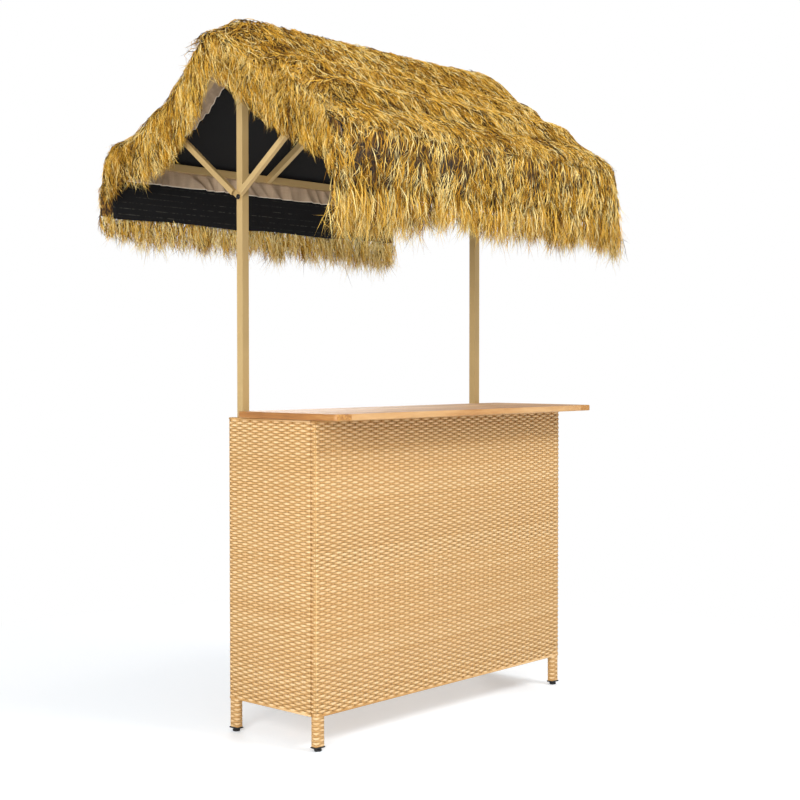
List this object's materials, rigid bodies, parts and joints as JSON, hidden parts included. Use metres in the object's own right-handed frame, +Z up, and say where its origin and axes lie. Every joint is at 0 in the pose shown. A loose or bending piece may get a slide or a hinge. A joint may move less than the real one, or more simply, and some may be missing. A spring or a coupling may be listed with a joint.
{
  "type": "tiki bar hut",
  "caption": "Outdoor tiki bar: a wicker cabinet with a slatted wooden counter below a thatched gable canopy on square posts, with screw levellers under its legs.",
  "frame": {"origin": "on the floor, below the middle of the ridge, which is the middle of the bounding box's base", "axes": "+Z up, +X along the counter to the right as a customer sees it, +Y from the customer's side to the bartender's side"},
  "size_m": [1.48, 1.1566, 2.2886],
  "materials": {
    "wicker": "satin",
    "champagne_paint": "satin",
    "acacia": "oiled",
    "black_plastic": "matte",
    "black_steel": "satin",
    "black_fabric": "matte",
    "beige_fabric": "matte",
    "raffia": "matte"
  },
  "bodies": {
    "hut": {"front_panel_frame": "champagne_paint", "front_panel_weave": "wicker", "left_panel_frame": "champagne_paint", "left_panel_weave": "wicker", "right_panel_frame": "champagne_paint", "right_panel_weave": "wicker", "foot_cap_front_left": "black_plastic", "foot_cap_front_right": "black_plastic", "foot_cap_back_left": "black_plastic", "foot_cap_back_right": "black_plastic", "lower_shelf": "wicker", "upper_shelf": "wicker", "counter_left_end_board": "acacia", "counter_right_end_board": "acacia", "counter_front_board": "acacia", "counter_back_board": "acacia", "counter_slat_1": "acacia", "counter_slat_2": "acacia", "counter_slat_3": "acacia", "counter_slat_4": "acacia", "counter_batten_left": "acacia", "counter_batten_middle": "acacia", "counter_batten_right": "acacia", "spacer_front_left": "black_plastic", "spacer_front_right": "black_plastic", "spacer_back_left": "black_plastic", "spacer_back_right": "black_plastic", "post_left": "champagne_paint", "post_right": "champagne_paint", "ridge_beam": "champagne_paint", "eave_rail_front": "champagne_paint", "eave_rail_back": "champagne_paint", "rafter_front_left": "champagne_paint", "rafter_front_middle": "champagne_paint", "rafter_front_right": "champagne_paint", "rafter_back_left": "champagne_paint", "rafter_back_middle": "champagne_paint", "rafter_back_right": "champagne_paint", "strut_front_left": "champagne_paint", "strut_back_left": "champagne_paint", "strut_front_right": "champagne_paint", "strut_back_right": "champagne_paint", "strut_bolt_left": "black_steel", "strut_bolt_right": "black_steel", "roof_cover": "black_fabric", "roof_lining_front": "beige_fabric", "roof_lining_back": "beige_fabric", "thatch_front_upper": "raffia", "thatch_front_middle": "raffia", "thatch_front_eave": "raffia", "thatch_back_upper": "raffia", "thatch_back_middle": "raffia", "thatch_back_eave": "raffia", "thatch_ridge_cap": "raffia", "thatch_left_gable": "raffia", "thatch_right_gable": "raffia"},
    "front_left_foot": {"leveller_front_left": "black_plastic"},
    "front_right_foot": {"leveller_front_right": "black_plastic"},
    "back_left_foot": {"leveller_back_left": "black_plastic"},
    "back_right_foot": {"leveller_back_right": "black_plastic"}
  },
  "joints": [
    {"name": "leveller_front_left_screw", "type": "slide", "parent": "hut", "child": "front_left_foot", "axis": [0, 0, -1], "range_m": [0, 0.012]},
    {"name": "leveller_front_right_screw", "type": "slide", "parent": "hut", "child": "front_right_foot", "axis": [0, 0, -1], "range_m": [0, 0.012]},
    {"name": "leveller_back_left_screw", "type": "slide", "parent": "hut", "child": "back_left_foot", "axis": [0, 0, -1], "range_m": [0, 0.012]},
    {"name": "leveller_back_right_screw", "type": "slide", "parent": "hut", "child": "back_right_foot", "axis": [0, 0, -1], "range_m": [0, 0.012]}
  ]
}
